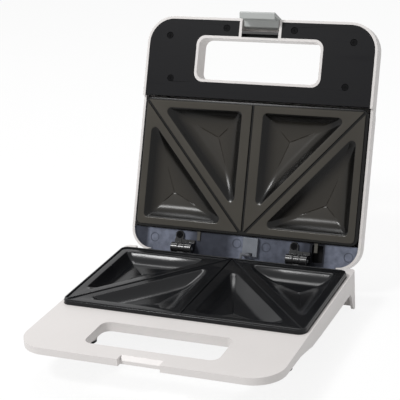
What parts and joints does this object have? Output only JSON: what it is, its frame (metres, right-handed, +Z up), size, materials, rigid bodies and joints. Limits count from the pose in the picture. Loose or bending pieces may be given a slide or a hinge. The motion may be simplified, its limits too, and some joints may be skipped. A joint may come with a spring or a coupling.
{
  "type": "sandwich toaster",
  "caption": "Countertop sandwich toaster with a hinged lid: two hand openings, a swinging latch and coated plates with triangular pockets that seal and brown sandwiches",
  "frame": {"origin": "middle of the open toaster's overall box, on the table", "axes": "+X to the right seen from the front, +Y from the handle towards the hinge, +Z up"},
  "size_m": [0.234, 0.3318, 0.2559],
  "materials": {
    "shell_white": "white injection moulded plastic with a soft gloss",
    "panel_black": "black plastic with a fine satin grain",
    "coated_plate": "cast aluminium with a satin black non-stick coating",
    "liner_grey": "blue-grey painted sheet, satin",
    "guide_grey": "lighter blue-grey painted sheet, satin",
    "latch_grey": "mid grey plastic, satin",
    "black_metal": "black painted steel",
    "black_screw": "blackened steel",
    "zinc_steel": "zinc plated steel",
    "foot_rubber": "black rubber",
    "heater_sheath": "darkened steel tube",
    "reflector_sheet": "bright aluminium sheet",
    "thermostat_ceramic": "unglazed pale ceramic",
    "block_ceramic": "glazed off-white ceramic",
    "black_plastic": "black plastic",
    "wire_sleeve": "pale woven glass sleeve",
    "lens_red": "clear red plastic",
    "lens_green": "clear green plastic",
    "lamp_glass": "clear glass"
  },
  "bodies": {
    "base": {"base_casing": "shell_white", "base_cover": "shell_white", "base_cover_screws": "zinc_steel", "front_foot_pads": "foot_rubber", "base_plate": "coated_plate", "base_plate_screws": "zinc_steel", "base_heater": "heater_sheath", "base_heater_clamp": "zinc_steel", "base_reflector": "reflector_sheet", "thermostat": "thermostat_ceramic", "thermal_fuse": "thermostat_ceramic", "terminal_block": "block_ceramic", "cord_gland": "black_plastic", "mains_leads": "wire_sleeve", "base_wiring": "wire_sleeve", "hinge_arms": "black_metal", "hinge_arm_screws": "zinc_steel", "hinge_pins": "zinc_steel"},
    "lid": {"lid_shell": "shell_white", "lid_panel": "panel_black", "lid_panel_screws": "black_screw", "lid_plate": "coated_plate", "lid_plate_screws": "zinc_steel", "lid_heater": "heater_sheath", "lid_heater_clamp": "zinc_steel", "lid_reflector": "reflector_sheet", "lid_liner": "liner_grey", "wire_guide": "guide_grey", "plate_brackets": "black_metal", "hinge_leaves": "black_metal", "hinge_leaf_screws": "black_screw", "lid_wiring": "wire_sleeve", "power_lens": "lens_red", "ready_lens": "lens_green", "neon_lamps": "lamp_glass", "latch_pin": "zinc_steel"},
    "latch": {"latch": "latch_grey"}
  },
  "joints": [
    {"name": "lid_hinge", "type": "hinge", "parent": "base", "child": "lid", "pos_m": [0, 0.0623, 0.0382], "axis": [1, 0, 0], "range_deg": [0, 112]},
    {"name": "latch_pivot", "type": "hinge", "parent": "lid", "child": "latch", "pos_m": [0, 0.15592, 0.23841], "axis": [1, 0, 0], "range_deg": [-11, 9]}
  ]
}
